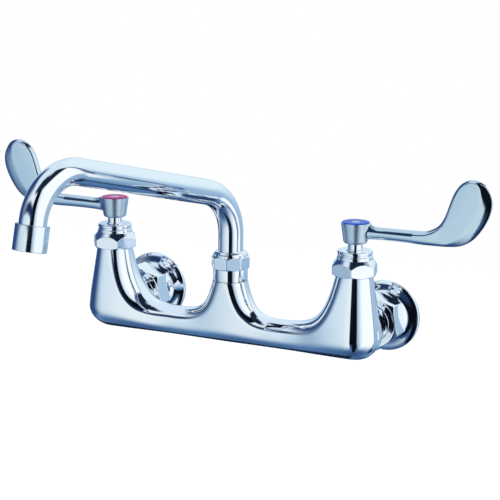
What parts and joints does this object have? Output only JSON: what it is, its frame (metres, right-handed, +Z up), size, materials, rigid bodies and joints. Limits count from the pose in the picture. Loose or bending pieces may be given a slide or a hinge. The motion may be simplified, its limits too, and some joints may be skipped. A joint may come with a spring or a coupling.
{
  "type": "commercial wall faucet",
  "caption": "Wall-mounted mixing faucet with wrist-blade handles, quarter-turn valves, a swinging tube spout and union inlets with round wall flanges.",
  "frame": {"origin": "on the wall, midway between the two inlet axes and level with them", "axes": "+X along the wall towards the cold side, on the user's right; +Y into the wall; +Z up"},
  "size_m": [0.4086, 0.2785, 0.1689],
  "materials": {
    "chrome": "polished chrome plate",
    "brass": "machined",
    "rubber": "matte",
    "ceramic": "lapped ceramic or smooth plastic",
    "steel": "stainless steel",
    "hot_index": "glossy red",
    "cold_index": "glossy blue"
  },
  "bodies": {
    "root": {"body_casting": "chrome", "outlet_adapter": "chrome", "spout_nut": "chrome", "thrust_washer": "ceramic", "hot_bonnet": "chrome", "hot_cartridge": "brass", "hot_seat_disc": "ceramic", "hot_seat_seal": "rubber", "hot_bonnet_washer": "rubber", "hot_coupling_nut": "chrome", "hot_snap_ring": "steel", "hot_inlet_washer": "rubber", "hot_inlet_shank": "brass", "hot_wall_flange": "chrome", "cold_bonnet": "chrome", "cold_cartridge": "brass", "cold_seat_disc": "ceramic", "cold_seat_seal": "rubber", "cold_bonnet_washer": "rubber", "cold_coupling_nut": "chrome", "cold_snap_ring": "steel", "cold_inlet_washer": "rubber", "cold_inlet_shank": "brass", "cold_wall_flange": "chrome"},
    "hot_handle": {"hot_blade_handle": "chrome", "hot_index_ring": "hot_index", "hot_index_cap": "steel", "hot_handle_screw": "steel", "hot_stem": "brass", "hot_turning_disc": "ceramic", "hot_stem_seal": "rubber"},
    "cold_handle": {"cold_blade_handle": "chrome", "cold_index_ring": "cold_index", "cold_index_cap": "steel", "cold_handle_screw": "steel", "cold_stem": "brass", "cold_turning_disc": "ceramic", "cold_stem_seal": "rubber"},
    "spout": {"spout_tube": "chrome", "spout_spigot": "brass", "spout_seals": "rubber", "outlet_sleeve": "chrome", "flow_insert": "steel", "outlet_washer": "rubber"}
  },
  "joints": [
    {"name": "hot_turn", "type": "hinge", "parent": "root", "child": "hot_handle", "pos_m": [-0.1016, -0.0658, 0.076], "axis": [0, 0, 1], "range_deg": [0, 90]},
    {"name": "cold_turn", "type": "hinge", "parent": "root", "child": "cold_handle", "pos_m": [0.1016, -0.0658, 0.076], "axis": [0, 0, 1], "range_deg": [-90, 0]},
    {"name": "spout_swivel", "type": "hinge", "parent": "root", "child": "spout", "pos_m": [0, -0.0658, 0.042], "axis": [0, 0, 1], "range_deg": [-27, 52]}
  ]
}
